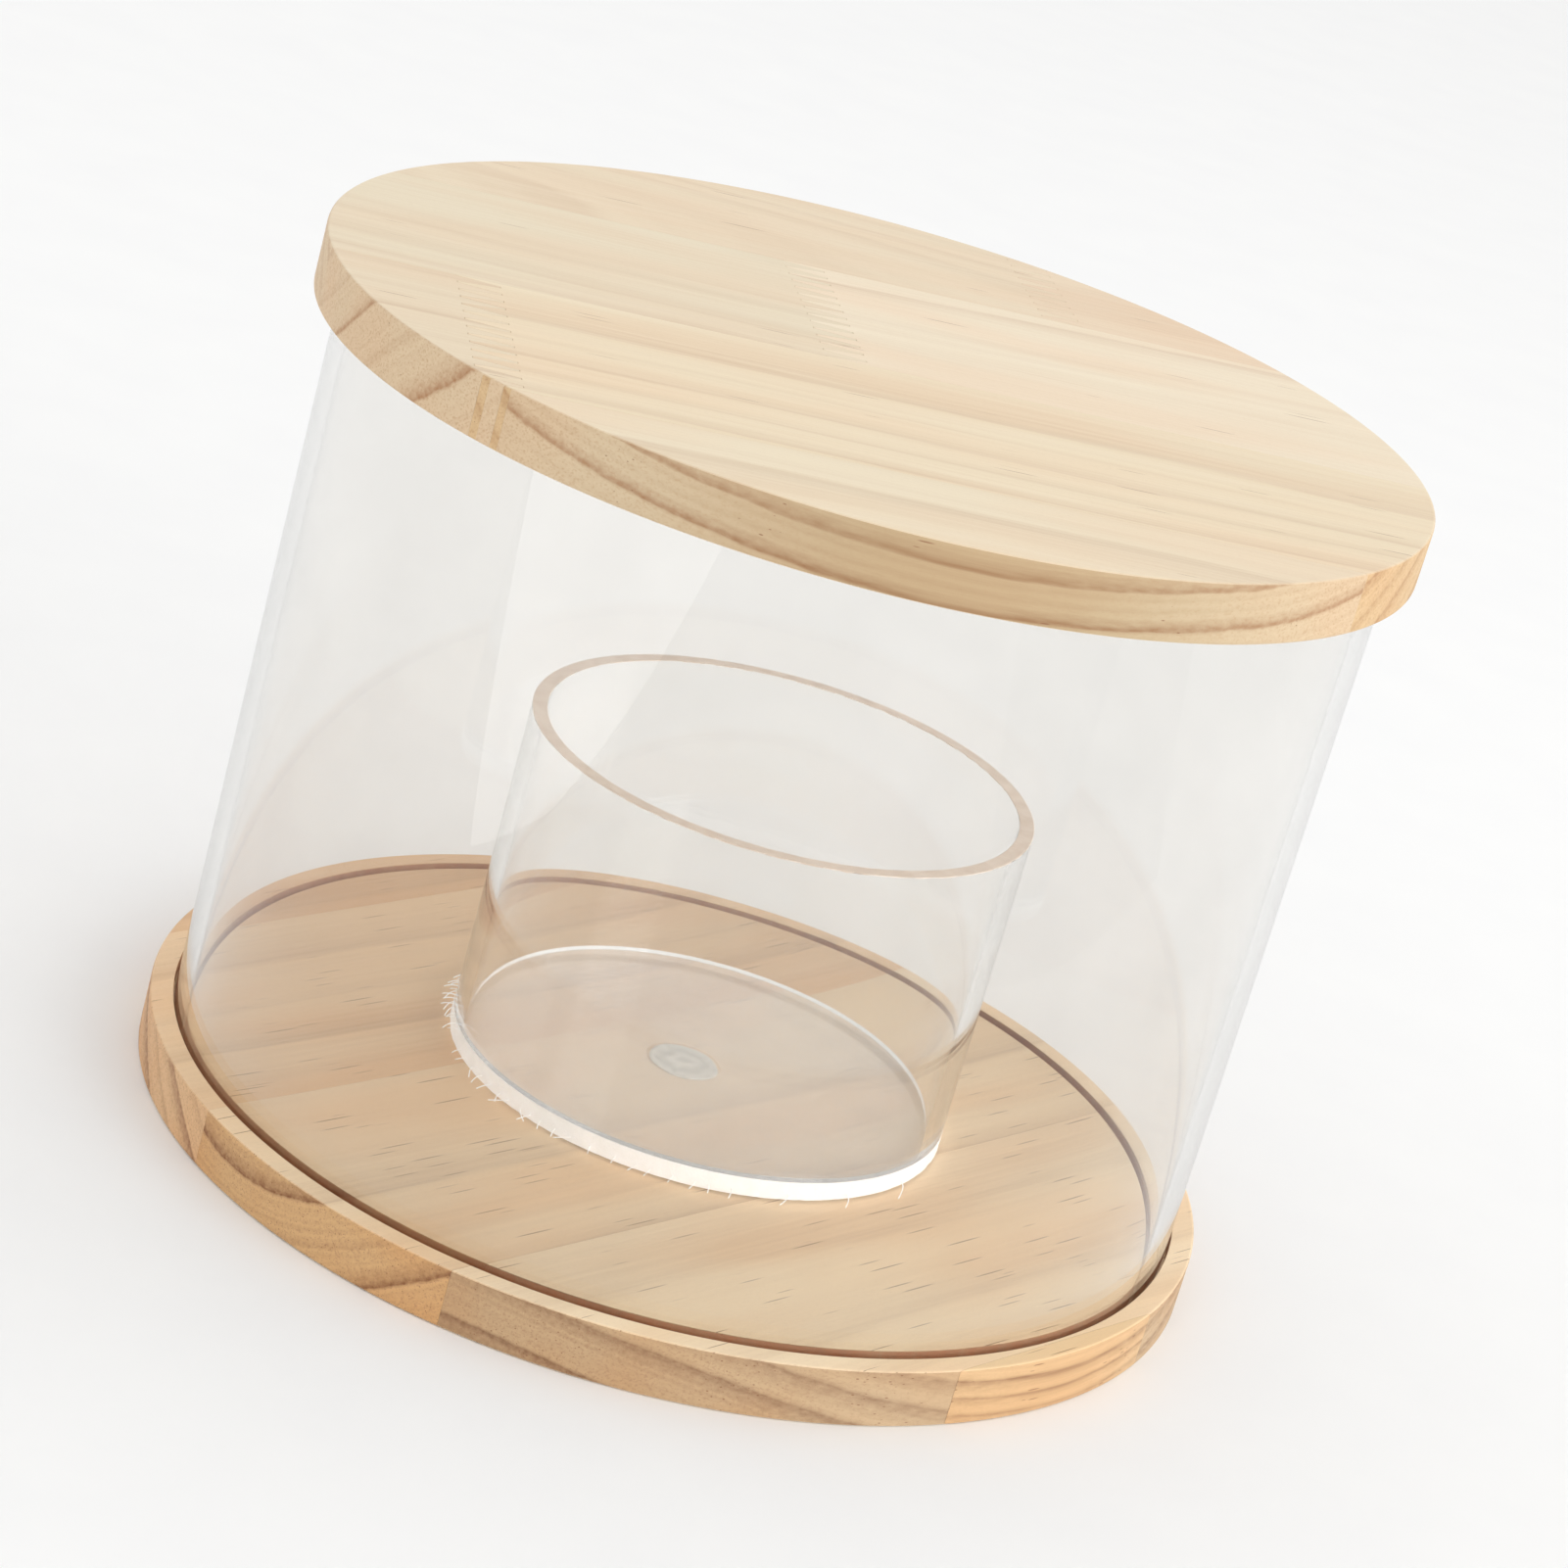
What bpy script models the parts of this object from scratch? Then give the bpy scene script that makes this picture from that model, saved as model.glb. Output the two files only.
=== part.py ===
"""Round clear cover with a wooden base, a lift-off wooden lid and a clear cup inside.

All sizes are in metres and +Z is up. The origin is the centre of the base's underside.
The cover is an open tube. It stands in a groove in the base, and the lid's groove sits on it.
Both wooden discs are cut from panels of edge-glued staves, some of them finger-jointed.
"""

import math

import bmesh
import bpy

# Cover tube: these two sizes set how wide and how tall the whole object is.
TUBE_OUTER_RADIUS = 0.100
TUBE_LENGTH = 0.150
TUBE_WALL = 0.003

# Wooden discs. A rim is the land that is left outside the groove.
BASE_THICKNESS = 0.0113
BASE_RIM = 0.0045
BASE_GROOVE_DEPTH = 0.0042
LID_THICKNESS = 0.0113
LID_RIM = 0.0045
LID_GROOVE_DEPTH = 0.0042
GROOVE_INNER_CLEARANCE = 0.0005
GROOVE_OUTER_CLEARANCE = 0.0005
ARRIS = 0.0004

# Staves of the base, from the narrow strip at the front right to the strip at the back left.
BASE_GRAIN_DEG = 51.7
BASE_FRONT_STRIP = 0.0038
BASE_BACK_STRIP = 0.0205
BASE_FULL_STAVES = 3

# Staves of the lid, from the front strip to the back strip.
LID_GRAIN_DEG = 12.9
LID_FRONT_STRIP = 0.0328
LID_BACK_STRIP = 0.0525
LID_FULL_STAVES = 2

# Finger joints of the lid: the place of each along the grain, from the lid's centre.
LID_JOINT_STAVE_2 = -0.078
LID_JOINT_STAVE_3 = -0.009
LID_JOINT_STAVE_4 = 0.0445
FINGER_LENGTH = 0.008
FINGER_PITCH = 0.0045
FINGER_TIP = 0.0008
FINGER_END_GAP = 0.0004
GLUE_LINE = 0.0003

# Inner cup: a short tube on a floor disc of the same width, on one soft dot.
CUP_OUTER_RADIUS = 0.050
CUP_WALL = 0.003
CUP_TUBE_LENGTH = 0.0643
CUP_FLOOR_THICKNESS = 0.0038
CUP_OFFSET_X = 0.0025
CUP_OFFSET_Y = 0.0080
DOT_RADIUS = 0.0075
DOT_THICKNESS = 0.0003
DOT_OFFSET_X = -0.003
DOT_OFFSET_Y = -0.0005

# Faces that rest on each other are modelled this far apart.
SEAT_GAP = 0.00015
DOT_GAP = 0.0001

# How finely round shapes are divided, and how far a cutting shape passes what it cuts.
SEGMENTS = 96
CUT_MARGIN = 0.003
SHARP_EDGE_DEG = 30.0

# Sizes that follow from the ones above.
TUBE_INNER_RADIUS = TUBE_OUTER_RADIUS - TUBE_WALL
GROOVE_INNER_RADIUS = TUBE_INNER_RADIUS - GROOVE_INNER_CLEARANCE
GROOVE_OUTER_RADIUS = TUBE_OUTER_RADIUS + GROOVE_OUTER_CLEARANCE
BASE_RADIUS = GROOVE_OUTER_RADIUS + BASE_RIM
LID_RADIUS = GROOVE_OUTER_RADIUS + LID_RIM
TUBE_BOTTOM_Z = BASE_THICKNESS - BASE_GROOVE_DEPTH + SEAT_GAP
TUBE_TOP_Z = TUBE_BOTTOM_Z + TUBE_LENGTH
LID_BOTTOM_Z = TUBE_TOP_Z + SEAT_GAP - LID_GROOVE_DEPTH
DOT_BOTTOM_Z = BASE_THICKNESS + DOT_GAP
CUP_FLOOR_BOTTOM_Z = DOT_BOTTOM_Z + DOT_THICKNESS + DOT_GAP
CUP_TUBE_BOTTOM_Z = CUP_FLOOR_BOTTOM_Z + CUP_FLOOR_THICKNESS + SEAT_GAP


def clear_scene():
    """Remove whatever the scene holds."""
    for item in list(bpy.data.objects):
        bpy.data.objects.remove(item, do_unlink=True)


def make_material(name, color, roughness, metallic=0.0, alpha=1.0):
    """Make a Principled material in one colour."""
    material = bpy.data.materials.new(name)
    material.use_nodes = True
    shader = material.node_tree.nodes["Principled BSDF"]
    shader.inputs["Base Color"].default_value = (*color, 1.0)
    shader.inputs["Roughness"].default_value = roughness
    shader.inputs["Metallic"].default_value = metallic
    shader.inputs["Alpha"].default_value = alpha
    material.diffuse_color = (*color, alpha)
    return material


def make_frame(name, location):
    """Make the empty that a body's pieces hang from, on the line that the body lifts along."""
    empty = bpy.data.objects.new(name, None)
    empty.empty_display_size = TUBE_OUTER_RADIUS / 5.0
    empty.location = location
    bpy.context.scene.collection.objects.link(empty)
    return empty


def make_object(name, mesh_editor, parent, material, location=(0.0, 0.0, 0.0), turn_deg=0.0):
    """Turn a finished bmesh into a named object under its parent."""
    bmesh.ops.recalc_face_normals(mesh_editor, faces=mesh_editor.faces)
    mesh = bpy.data.meshes.new(name)
    mesh_editor.to_mesh(mesh)
    mesh_editor.free()
    mesh.materials.append(material)
    item = bpy.data.objects.new(name, mesh)
    item.parent = parent
    item.location = location
    item.rotation_euler = (0.0, 0.0, math.radians(turn_deg))
    bpy.context.scene.collection.objects.link(item)
    return item


def shade_round(item):
    """Shade a turned piece smooth around, and keep its edges sharp."""
    item.data.shade_smooth()
    item.data.set_sharp_from_angle(angle=math.radians(SHARP_EDGE_DEG))


def turn_profile(points, closed):
    """Spin an outline of (radius, height) points around +Z, and cap the ends of an open one."""
    mesh_editor = bmesh.new()
    verts = [mesh_editor.verts.new((radius, 0.0, height)) for radius, height in points]
    edges = [mesh_editor.edges.new(pair) for pair in zip(verts, verts[1:])]
    if closed:
        edges.append(mesh_editor.edges.new((verts[-1], verts[0])))
    bmesh.ops.spin(
        mesh_editor,
        geom=verts + edges,
        cent=(0.0, 0.0, 0.0),
        axis=(0.0, 0.0, 1.0),
        angle=math.tau,
        steps=SEGMENTS,
        use_merge=True,
    )
    if not closed:
        open_edges = [edge for edge in mesh_editor.edges if edge.is_boundary]
        bmesh.ops.edgeloop_fill(mesh_editor, edges=open_edges)
    return mesh_editor


def ring_mesh(outer_radius, inner_radius, length):
    """A straight tube that stands on Z = 0."""
    outline = [(inner_radius, 0.0), (outer_radius, 0.0), (outer_radius, length), (inner_radius, length)]
    return turn_profile(outline, closed=True)


def disc_mesh(radius, thickness):
    """A plain disc that lies on Z = 0."""
    return turn_profile([(radius, 0.0), (radius, thickness)], closed=False)


def grooved_disc_mesh(radius, thickness, groove_depth, groove_opens_up):
    """A disc with broken outer edges and the cover's groove in its upper or lower face."""
    floor = thickness - groove_depth
    outline = [
        (radius - ARRIS, 0.0),
        (radius, ARRIS),
        (radius, thickness - ARRIS),
        (radius - ARRIS, thickness),
        (GROOVE_OUTER_RADIUS, thickness),
        (GROOVE_OUTER_RADIUS, floor),
        (GROOVE_INNER_RADIUS, floor),
        (GROOVE_INNER_RADIUS, thickness),
    ]
    if not groove_opens_up:
        outline = [(r, thickness - z) for r, z in outline]
    return turn_profile(outline, closed=False)


def make_blank(name, mesh_editor, parent, material, turn_deg):
    """Make the whole disc that the staves are cut to. It isn't a piece of the object."""
    blank = make_object(name, mesh_editor, parent, material, turn_deg=-turn_deg)
    blank.hide_render = True
    blank.display_type = "WIRE"
    return blank


def glue_lines(radius, front_strip, back_strip, full_staves):
    """Offsets of the glue lines across the grain: two edge strips, and equal staves between."""
    first = front_strip - radius
    last = radius - back_strip
    step = (last - first) / full_staves
    return [first + step * index for index in range(full_staves + 1)]


def stave_spans(radius, lines):
    """The lower and upper offset of every stave, with half a glue line off each glued edge."""
    half = GLUE_LINE / 2.0
    lows = [-radius - CUT_MARGIN] + [line + half for line in lines]
    highs = [line - half for line in lines] + [radius + CUT_MARGIN]
    return list(zip(lows, highs))


def finger_edge(low, high, place, radius):
    """The zigzag of a finger joint across one stave, as (along, across) points from low to high.

    Every finger stays whole inside the disc, so no tip of one is cut loose at the rim.
    """
    outward = math.copysign(FINGER_LENGTH / 2.0, place)
    outer = place + outward
    inner = place - outward
    reach = math.sqrt(radius ** 2 - outer ** 2) - FINGER_TIP
    start = max(low, -radius)
    width = min(high, radius) - start
    count = max(1, round(width / FINGER_PITCH))
    pitch = width / count
    half_tip = FINGER_TIP / 2.0
    points = [(outer, low)]
    for index in range(count):
        root = start + pitch * index
        middle = root + pitch / 2.0
        if max(abs(root), abs(root + pitch)) < reach:
            points.append((outer, root + half_tip))
            points.append((inner, middle - half_tip))
            points.append((inner, middle + half_tip))
            points.append((outer, root + pitch - half_tip))
    points.append((outer, high))
    return points


def prism_mesh(outline, thickness):
    """A stave's outline, extruded to pass both faces of its disc."""
    mesh_editor = bmesh.new()
    verts = [mesh_editor.verts.new((along, across, -CUT_MARGIN)) for along, across in outline]
    face = mesh_editor.faces.new(verts)
    rise = thickness + 2.0 * CUT_MARGIN
    extruded = bmesh.ops.extrude_face_region(mesh_editor, geom=[face])
    moved = [part for part in extruded["geom"] if isinstance(part, bmesh.types.BMVert)]
    bmesh.ops.translate(mesh_editor, verts=moved, vec=(0.0, 0.0, rise))
    return mesh_editor


def cut_to_disc(item, blank):
    """Trim a stave to its disc: round rim, two faces and groove."""
    cut = item.modifiers.new("disc", "BOOLEAN")
    cut.operation = "INTERSECT"
    cut.solver = "EXACT"
    cut.object = blank


def make_plain_stave(name, span, radius, thickness, frame, blank, material):
    """A stave in one length."""
    low, high = span
    reach = radius + CUT_MARGIN
    outline = [(-reach, low), (reach, low), (reach, high), (-reach, high)]
    item = make_object(name, prism_mesh(outline, thickness), frame, material)
    cut_to_disc(item, blank)


def make_jointed_stave(name, span, place, radius, thickness, frame, blank, materials):
    """A stave in two lengths that meet in a finger joint, named _left and _right."""
    low, high = span
    reach = radius + CUT_MARGIN
    edge = finger_edge(low, high, place, radius)
    half = FINGER_END_GAP / 2.0
    left = [(-reach, low)] + [(along - half, across) for along, across in edge] + [(-reach, high)]
    right = [(reach, low)] + [(along + half, across) for along, across in edge] + [(reach, high)]
    for side, outline, material in (("left", left, materials[0]), ("right", right, materials[1])):
        item = make_object(f"{name}_{side}", prism_mesh(outline, thickness), frame, material)
        cut_to_disc(item, blank)


def make_base(frame):
    """The base: five staves in one grooved disc, with the groove in its upper face."""
    pine = make_material("base_pine", (0.68, 0.50, 0.32), 0.55)
    mesh_editor = grooved_disc_mesh(BASE_RADIUS, BASE_THICKNESS, BASE_GROOVE_DEPTH, groove_opens_up=True)
    blank = make_blank("base_blank", mesh_editor, frame, pine, BASE_GRAIN_DEG)
    lines = glue_lines(BASE_RADIUS, BASE_FRONT_STRIP, BASE_BACK_STRIP, BASE_FULL_STAVES)
    for number, span in enumerate(stave_spans(BASE_RADIUS, lines), start=1):
        make_plain_stave(f"base_stave_{number}", span, BASE_RADIUS, BASE_THICKNESS, frame, blank, pine)


def make_lid(frame):
    """The lid: four staves in one grooved disc, three of them in two lengths."""
    pine = make_material("lid_pine", (0.84, 0.70, 0.50), 0.55)
    warm_pine = make_material("lid_pine_warm", (0.82, 0.66, 0.47), 0.55)
    mesh_editor = grooved_disc_mesh(LID_RADIUS, LID_THICKNESS, LID_GROOVE_DEPTH, groove_opens_up=False)
    blank = make_blank("lid_blank", mesh_editor, frame, pine, LID_GRAIN_DEG)
    lines = glue_lines(LID_RADIUS, LID_FRONT_STRIP, LID_BACK_STRIP, LID_FULL_STAVES)
    spans = stave_spans(LID_RADIUS, lines)
    make_plain_stave("lid_stave_1", spans[0], LID_RADIUS, LID_THICKNESS, frame, blank, pine)
    places = (LID_JOINT_STAVE_2, LID_JOINT_STAVE_3, LID_JOINT_STAVE_4)
    for number, (span, place) in enumerate(zip(spans[1:], places), start=2):
        name = f"lid_stave_{number}"
        pair = (pine, warm_pine)
        make_jointed_stave(name, span, place, LID_RADIUS, LID_THICKNESS, frame, blank, pair)


def make_cover(frame):
    """The clear tube that stands in the base's groove."""
    acrylic = make_material("cover_acrylic", (0.93, 0.94, 0.95), 0.03, alpha=0.25)
    tube_mesh = ring_mesh(TUBE_OUTER_RADIUS, TUBE_INNER_RADIUS, TUBE_LENGTH)
    tube = make_object("cover_tube", tube_mesh, frame, acrylic)
    shade_round(tube)


def make_cup(frame):
    """The clear cup: tube, floor disc and the soft dot under the floor."""
    acrylic = make_material("cup_acrylic", (0.93, 0.94, 0.95), 0.03, alpha=0.25)
    frosted = make_material("cup_floor_acrylic", (0.92, 0.92, 0.92), 0.30, alpha=0.40)
    gel = make_material("gel", (0.80, 0.81, 0.80), 0.35, alpha=0.60)
    tube_mesh = ring_mesh(CUP_OUTER_RADIUS, CUP_OUTER_RADIUS - CUP_WALL, CUP_TUBE_LENGTH)
    tube = make_object("cup_tube", tube_mesh, frame, acrylic, (0.0, 0.0, CUP_TUBE_BOTTOM_Z))
    shade_round(tube)
    floor_mesh = disc_mesh(CUP_OUTER_RADIUS, CUP_FLOOR_THICKNESS)
    floor = make_object("cup_floor", floor_mesh, frame, frosted, (0.0, 0.0, CUP_FLOOR_BOTTOM_Z))
    shade_round(floor)
    dot_place = (DOT_OFFSET_X, DOT_OFFSET_Y, DOT_BOTTOM_Z)
    dot = make_object("cup_gel_dot", disc_mesh(DOT_RADIUS, DOT_THICKNESS), frame, gel, dot_place)
    shade_round(dot)


def build():
    """Build the four bodies, each under its own frame."""
    clear_scene()
    base_frame = make_frame("base_frame", (0.0, 0.0, 0.0))
    base_frame.rotation_euler = (0.0, 0.0, math.radians(BASE_GRAIN_DEG))
    cover_frame = make_frame("cover_frame", (0.0, 0.0, TUBE_BOTTOM_Z))
    lid_frame = make_frame("lid_frame", (0.0, 0.0, LID_BOTTOM_Z))
    lid_frame.rotation_euler = (0.0, 0.0, math.radians(LID_GRAIN_DEG))
    cup_frame = make_frame("cup_frame", (CUP_OFFSET_X, CUP_OFFSET_Y, 0.0))
    make_base(base_frame)
    make_cover(cover_frame)
    make_lid(lid_frame)
    make_cup(cup_frame)
    bpy.context.view_layer.update()


build()
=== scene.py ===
"""Looks for a round clear cover on a pine base, with a pine lid and a small clear cup inside.

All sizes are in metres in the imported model's frame, unless a name ends in MM.
Each wooden piece gets growth rings of its own, cut from a solid pattern, so its faces and its rim agree.
"""

import math

import bmesh
import bpy
from mathutils import Matrix, Vector, noise


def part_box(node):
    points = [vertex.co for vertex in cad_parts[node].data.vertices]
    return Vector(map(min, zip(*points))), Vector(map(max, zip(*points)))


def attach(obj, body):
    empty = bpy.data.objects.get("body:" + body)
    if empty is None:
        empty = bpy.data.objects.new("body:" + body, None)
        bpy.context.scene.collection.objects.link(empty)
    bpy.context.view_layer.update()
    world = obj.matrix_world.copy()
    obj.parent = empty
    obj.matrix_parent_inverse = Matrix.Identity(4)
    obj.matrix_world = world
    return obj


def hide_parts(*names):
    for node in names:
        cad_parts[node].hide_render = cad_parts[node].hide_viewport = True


# Discs: outlines of the turned wood.
TUBE_WALL = 0.003
GROOVE_CLEARANCE = 0.0005
GROOVE_SEAT = 0.00015
ARRIS = 0.00045
GROOVE_ARRIS = 0.00015
DISC_STEPS = 288

# Staves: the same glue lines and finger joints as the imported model, but glued tight.
BASE_GRAIN_DEG = 51.7
BASE_LINES = (-0.1012, -0.0393, 0.0226, 0.0845)
LID_GRAIN_DEG = 12.9
LID_LINES = (-0.0722, -0.00985, 0.0525)
LID_JOINTS = {2: -0.078, 3: -0.009, 4: 0.0445}
FINGER_LENGTH = 0.008
FINGER_PITCH = 0.0045
FINGER_TIP = 0.0008
FINGER_END_GAP = 0.00010
FINGER_SIDE_GAP = 0.00005
GLUE_GAP = 0.00005
PAST_EDGE = 0.003

# Camera: it looks down at the front, with the picture tilted.
CAMERA_PLACE = (0.0, -0.787957, 0.370956)
CAMERA_TURN_DEG = (68.8610, -14.9079, 5.4284)
CAMERA_LENS_MM = 101.107
CAMERA_SENSOR_MM = 36.0


def linear(red, green, blue):
    """A colour for Blender from display values of 0 to 255."""
    out = []
    for value in (red, green, blue):
        part = value / 255.0
        out.append(part / 12.92 if part <= 0.04045 else ((part + 0.055) / 1.055) ** 2.4)
    return (*out, 1.0)


# ---------------------------------------------------------------- shader helper


class Shader:
    """A node material with short calls to add and wire its nodes."""

    def __init__(self, name):
        self.material = bpy.data.materials.new(name)
        self.material.use_nodes = True
        self.nodes = self.material.node_tree.nodes
        self.links = self.material.node_tree.links
        self.nodes.clear()

    def node(self, kind, inputs=None, **settings):
        made = self.nodes.new("ShaderNode" + kind)
        for key, value in settings.items():
            setattr(made, key, value)
        for key, value in (inputs or {}).items():
            if isinstance(value, bpy.types.NodeSocket):
                self.links.new(value, made.inputs[key])
            else:
                made.inputs[key].default_value = value
        return made

    def math(self, operation, *values, clamp=False):
        made = self.node("Math", dict(enumerate(values)), operation=operation, use_clamp=clamp)
        return made.outputs[0]

    def vector(self, operation, *values):
        made = self.node("VectorMath", dict(enumerate(values)), operation=operation)
        return made.outputs["Value" if operation in ("DOT_PRODUCT", "LENGTH") else "Vector"]

    def remap(self, value, low, high, to_low=0.0, to_high=1.0, smooth=False):
        kind = "SMOOTHSTEP" if smooth else "LINEAR"
        inputs = {"Value": value, "From Min": low, "From Max": high, "To Min": to_low, "To Max": to_high}
        return self.node("MapRange", inputs, interpolation_type=kind).outputs[0]

    def mix(self, factor, first, second, blend="MIX"):
        inputs = {"Fac": factor, "Color1": first, "Color2": second}
        return self.node("MixRGB", inputs, blend_type=blend).outputs[0]

    def noise(self, place, scale=1.0, detail=2.0, rough=0.5):
        inputs = {"Vector": place, "Scale": scale, "Detail": detail, "Roughness": rough}
        return self.node("TexNoise", inputs)

    def join(self, x, y, z):
        return self.node("CombineXYZ", {0: x, 1: y, 2: z}).outputs[0]

    def finish(self, surface):
        self.node("OutputMaterial", {"Surface": surface})
        return self.material


# ---------------------------------------------------------------- pine

# Each board: where its pith runs (across the grain and above the top face, mm), how that line drifts
# per mm along the grain, the tone of its early wood, a tint for its rim (partly the board's own tone and
# partly painted shade on the rim) and how far that tint fades on end grain, and its latewood bands as
# (radius of the sharp edge, width, strength), in mm.
BOARDS = {
    "lid_stave_1": dict(
        pith=(-127.8, 171),
        tone=(229, 214, 186),
        side=(206, 194, 176),
        side_fade=0.9,
        bands=((169, 2, 0.4), (175.9, 2.4, 0.85), (183, 2.4, 0.9)),
    ),
    "lid_stave_2_left": dict(
        pith=(44.2, 87.6),
        tone=(225, 208, 180),
        bands=((104, 2, 0.5), (112, 1.5, 0.35), (120.5, 2, 0.9), (130, 2, 0.25), (139.5, 3.6, 1.0)),
    ),
    "lid_stave_2_right": dict(
        pith=(20, -110),
        drift=(0.006, 0.0),
        tone=(230, 213, 183),
        side=(247, 238, 222),
        bands=((120.4, 6.4, 0.75), (125, 1, 0.2), (130.9, 3, 0.7), (136.2, 2.2, 0.5), (142.2, 3.2, 0.7)),
    ),
    "lid_stave_3_left": dict(
        pith=(60, -140),
        drift=(-0.05, 0.0),
        tone=(225, 211, 184),
        bands=((140, 2, 0.15), (147, 3, 0.25), (152, 3, 0.35), (157, 2, 0.5)),
    ),
    "lid_stave_3_right": dict(
        pith=(-10, -120),
        drift=(0.08, 0.0),
        tone=(233, 218, 192),
        bands=((121, 1.5, 0.2), (124.5, 2, 0.25), (131.5, 2.6, 0.75)),
    ),
    "lid_stave_4_left": dict(
        pith=(52, -103.8),
        drift=(0.0, -0.08),
        tone=(226, 209, 181),
        bands=(
            (96.5, 2, 0.3), (100, 4, 0.42), (104, 2, 0.25),
            (109.3, 1.6, 0.42), (112, 1.4, 0.42), (116, 2, 0.3),
        ),
    ),
    "lid_stave_4_right": dict(
        pith=(70, -80),
        drift=(0.03, 0.0),
        tone=(228, 208, 180),
        bands=((77, 2, 0.4), (80.5, 2, 0.35), (84, 2, 0.5), (90, 3, 0.3)),
    ),
    "base_stave_1": dict(
        pith=(-95, -60),
        tone=(246, 218, 174),
        side=(228, 219, 212),
        bands=((51, 1.5, 0.5), (54.5, 1.6, 0.6), (58, 2, 0.7)),
    ),
    "base_stave_2": dict(
        pith=(-40.1, -129.1),
        tone=(250, 227, 192),
        side=(206, 198, 190),
        bands=((120.5, 4, 0.75), (130, 4, 0.6), (135.6, 3, 0.55), (141, 3, 0.4)),
    ),
    "base_stave_3": dict(
        pith=(12, 56),
        tone=(241, 215, 179),
        side=(232, 219, 198),
        bands=((61, 4, 0.95), (69, 2, 0.25), (76.5, 4, 0.85)),
    ),
    "base_stave_4": dict(
        pith=(144.6, -170.3),
        tone=(233, 201, 162),
        side=(250, 248, 246),
        bands=((179, 4, 0.45), (186.5, 5, 0.85), (193, 2, 0.3), (200, 4, 0.9), (206, 2, 0.3)),
    ),
    "base_stave_5": dict(
        pith=(110, -75),
        tone=(223, 185, 144),
        side=(250, 248, 246),
        bands=((72, 2, 0.5), (78, 3, 0.6), (84, 2, 0.5)),
    ),
}

# Each kind of wood: colours, how many resin flecks, and how strongly its rings show on a flat face.
LID_WOOD = dict(
    late=linear(170, 124, 84),
    warm=linear(255, 249, 246),
    flecks=0.06,
    face=0.31,
    rim=0.72,
)
BASE_WOOD = dict(
    late=linear(150, 108, 80),
    warm=linear(253, 243, 234),
    flecks=0.46,
    face=0.27,
    rim=0.85,
)
FLECK_COLOR = linear(132, 88, 58)
# Painted shade: the darker brown laid on the groove's walls below its opening.
GROOVE_SHADE_COLOR = linear(188, 124, 88)
RING_SPAN_MM = 90.0
RING_FADE_MM = 0.5
RING_WANDER_MM = (0.0, 5.0, 2.5)
RING_RIPPLE_MM = 0.35
LINE_PITCH = 0.9
LINE_SHARE = 0.40
STREAK_SHARE = 0.30
FIBRE_SHARE = 0.20
LATE_FLOOR = 0.08
FACING_UP = (0.3, 0.8)
FLECK_LENGTH_MM = 24.0
FLECK_WIDTH_MM = 0.70
FLECK_SIZE = (0.07, 0.14)
FLECK_STRENGTH = 0.70
END_GRAIN = (0.10, 0.85)
END_SHADE = 0.5
END_COLOR = linear(226, 205, 178)
PORE_SHARE = (0.05, 0.34)
# Where the painted shade in the groove begins, and where it is full, in mm.
GROOVE_SHADE_EDGE_MM = 0.12
GROOVE_SHADE_FADE_MM = 0.30
GRIT_SCALE = 2600.0
WOOD_SPECULAR = 0.32
WOOD_BUMP = 0.35
WOOD_BUMP_DEPTH = 0.00012


def ring_ramp(shader, radius, bands):
    """Latewood from 0 to 1 by distance from the pith: it deepens slowly and ends in a sharp edge."""
    low = bands[0][0] - RING_SPAN_MM / 2.0
    made = shader.node("ValToRGB", {"Fac": shader.remap(radius, low, low + RING_SPAN_MM)})
    ramp = made.color_ramp
    stops = [(0.0, 0.0)]
    for edge, width, strength in bands:
        start = (edge - width - low) / RING_SPAN_MM
        stops.append((start, 0.0))
        stops.append(((edge - 0.3 * width - low) / RING_SPAN_MM, 0.55 * strength))
        stops.append(((edge - low) / RING_SPAN_MM, strength))
        stops.append(((edge + RING_FADE_MM - low) / RING_SPAN_MM, 0.0))
    ramp.elements[1].position = 1.0
    ramp.elements[1].color = (0.0, 0.0, 0.0, 1.0)
    for place, value in stops:
        stop = ramp.elements.new(place)
        stop.color = (value, value, value, 1.0)
    return made.outputs["Color"]


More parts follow.
